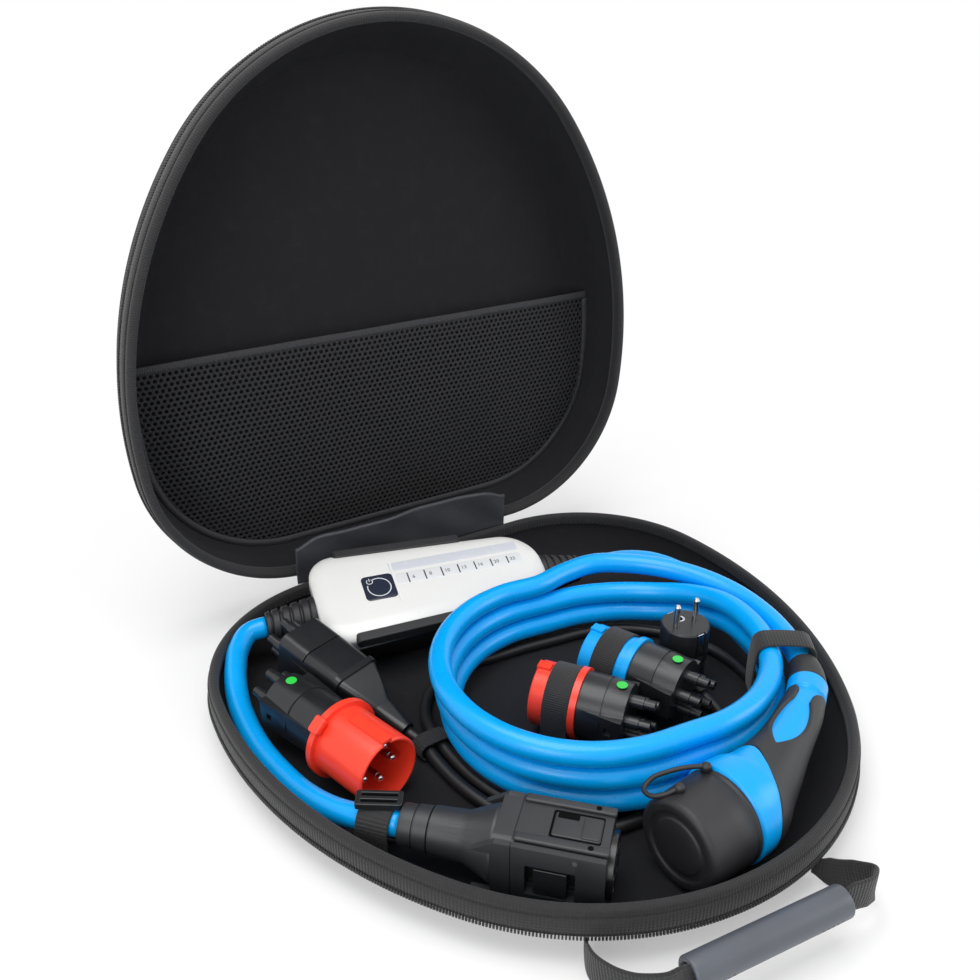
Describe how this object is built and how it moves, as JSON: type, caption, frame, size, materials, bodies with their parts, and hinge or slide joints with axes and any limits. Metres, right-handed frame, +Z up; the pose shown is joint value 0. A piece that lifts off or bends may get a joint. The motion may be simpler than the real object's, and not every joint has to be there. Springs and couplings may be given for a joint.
{
  "type": "portable electric vehicle charger",
  "caption": "Portable EV charging set in a round zip case: control box with blue cable coil, vehicle plug with cap, supply connector, mains adapters, net pocket in the hinged lid.",
  "frame": {"origin": "middle of the case underside, on the face it rests on", "axes": "+X along the hinge to the right, +Y towards the hinge at the rear, +Z up"},
  "size_m": [0.4704, 0.5486, 0.4885],
  "materials": {
    "case_fabric": "woven nylon over moulded foam",
    "lining": "knitted lining and net",
    "webbing": "polyester webbing and elastic",
    "zip_tape": "zip tape with moulded teeth",
    "black_plastic": "fine textured",
    "dark_plastic": "smooth",
    "soft_black": "soft touch",
    "white_plastic": "satin gloss",
    "window": "printed film",
    "touch_film": "printed film",
    "blue_jacket": "smooth cable jacket",
    "black_jacket": "smooth cable jacket",
    "blue_plastic": "fine textured",
    "red_plastic": "fine textured",
    "green_plastic": "smooth",
    "board": "solder mask",
    "plated": "nickel plated"
  },
  "bodies": {
    "base": {"base_shell": "case_fabric", "base_binding": "case_fabric", "base_zip": "zip_tape", "base_hinge_strip": "case_fabric", "hinge_flap": "lining", "zip_sliders": "plated", "handle_straps": "webbing", "handle_grip": "soft_black", "hold_strap": "webbing", "strap_buckle": "black_plastic", "adapter_straps": "webbing", "coil_wrap": "webbing", "lead_tie": "webbing", "box_cover": "white_plastic", "box_housing": "black_plastic", "box_grips": "soft_black", "box_seal": "soft_black", "box_board": "board", "box_relays": "dark_plastic", "box_sensor": "plated", "box_window": "window", "box_touch_field": "touch_film", "box_screws": "plated", "box_boot_in": "soft_black", "box_boot_out": "soft_black", "supply_cable": "blue_jacket", "supply_neck": "soft_black", "supply_housing": "black_plastic", "supply_latches": "soft_black", "supply_insert": "dark_plastic", "charge_lead": "blue_jacket", "charge_coil": "blue_jacket", "charge_tail": "blue_jacket", "big_housing": "black_plastic", "big_shroud": "red_plastic", "big_pins": "plated", "mid_housing": "black_plastic", "mid_shroud": "red_plastic", "mid_pins": "plated", "blue_housing": "black_plastic", "blue_shroud": "blue_plastic", "blue_pins": "plated", "coding_dots": "green_plastic", "house_housing": "black_plastic", "house_lead": "black_jacket", "house_plug": "black_plastic", "house_pins": "plated", "house_clips": "plated", "vehicle_boot": "soft_black", "vehicle_shell": "blue_plastic", "vehicle_grip": "soft_black", "vehicle_insert": "dark_plastic", "vehicle_cap": "soft_black", "vehicle_tether": "soft_black"},
    "lid": {"lid_shell": "case_fabric", "lid_binding": "case_fabric", "lid_zip": "zip_tape", "lid_hinge_strip": "case_fabric", "mesh_pocket": "lining", "pocket_hem": "case_fabric"}
  },
  "joints": [
    {"name": "lid_hinge", "type": "hinge", "parent": "base", "child": "lid", "pos_m": [0, 0.1997, 0.04], "axis": [1, 0, 0], "range_deg": [0, 90], "deforming": ["hinge_flap"]}
  ]
}
